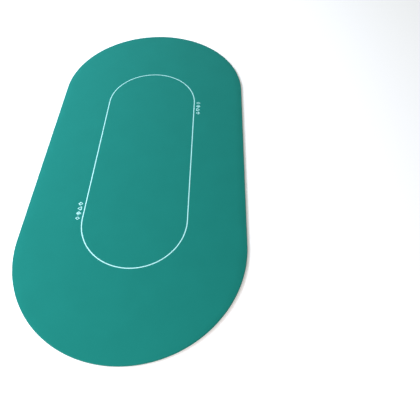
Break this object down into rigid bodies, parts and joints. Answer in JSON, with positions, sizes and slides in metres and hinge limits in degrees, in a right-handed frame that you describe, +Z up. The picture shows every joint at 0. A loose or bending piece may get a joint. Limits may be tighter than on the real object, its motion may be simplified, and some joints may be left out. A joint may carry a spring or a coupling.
{
  "type": "folding poker table top",
  "caption": "Oval padded playing surface in green cloth with a pale printed line, on thin board panels that fold cloth to cloth into a flat bundle.",
  "frame": {"origin": "Middle of the oval at the level of the table that the rubber feet stand on.", "axes": "+Y runs along the length towards the far end, +X across the width, +Z up out of the playing surface."},
  "size_m": [0.9, 1.8, 0.0121],
  "materials": {
    "cloth": "matte close-woven green playing cloth",
    "print": "thin pale heat-transfer film",
    "fibreboard": "plain brown medium-density fibreboard",
    "foam": "dark closed-cell foam sheet",
    "fold_tape": "off-white woven cotton tape",
    "staple_wire": "zinc-plated wire",
    "rubber_foot": "matte black non-slip rubber"
  },
  "bodies": {
    "near_end_panel": {"near_end_board": "fibreboard", "near_end_foam": "foam", "near_end_cloth": "cloth", "near_end_line": "print", "near_end_tape": "fold_tape", "near_end_staples": "staple_wire", "near_end_feet": "rubber_foot"},
    "near_mid_panel": {"near_mid_board": "fibreboard", "near_mid_foam": "foam", "near_mid_cloth": "cloth", "near_mid_line": "print", "near_mid_marks": "print", "near_mid_tapes": "fold_tape", "near_mid_staples": "staple_wire", "near_mid_feet": "rubber_foot"},
    "spine_slat": {"spine_board": "fibreboard", "spine_foam": "foam", "spine_cloth": "cloth", "spine_line": "print", "spine_tape": "fold_tape", "spine_staples": "staple_wire", "spine_feet": "rubber_foot"},
    "far_mid_panel": {"far_mid_board": "fibreboard", "far_mid_foam": "foam", "far_mid_cloth": "cloth", "far_mid_line": "print", "far_mid_marks": "print", "far_mid_tapes": "fold_tape", "far_mid_staples": "staple_wire", "far_mid_feet": "rubber_foot"},
    "far_end_panel": {"far_end_board": "fibreboard", "far_end_foam": "foam", "far_end_cloth": "cloth", "far_end_line": "print", "far_end_tape": "fold_tape", "far_end_staples": "staple_wire", "far_end_feet": "rubber_foot"}
  },
  "joints": [
    {"name": "near_end_fold", "type": "hinge", "parent": "near_mid_panel", "child": "near_end_panel", "pos_m": [0, -0.462, 0.01235], "axis": [-1, 0, 0], "range_deg": [0, 180]},
    {"name": "near_spine_fold", "type": "hinge", "parent": "near_mid_panel", "child": "spine_slat", "pos_m": [0, -0.013, 0.01235], "axis": [1, 0, 0], "range_deg": [0, 90]},
    {"name": "far_spine_fold", "type": "hinge", "parent": "spine_slat", "child": "far_mid_panel", "pos_m": [0, 0.013, 0.01235], "axis": [1, 0, 0], "range_deg": [0, 90]},
    {"name": "far_end_fold", "type": "hinge", "parent": "far_mid_panel", "child": "far_end_panel", "pos_m": [0, 0.462, 0.01235], "axis": [1, 0, 0], "range_deg": [0, 180]}
  ]
}
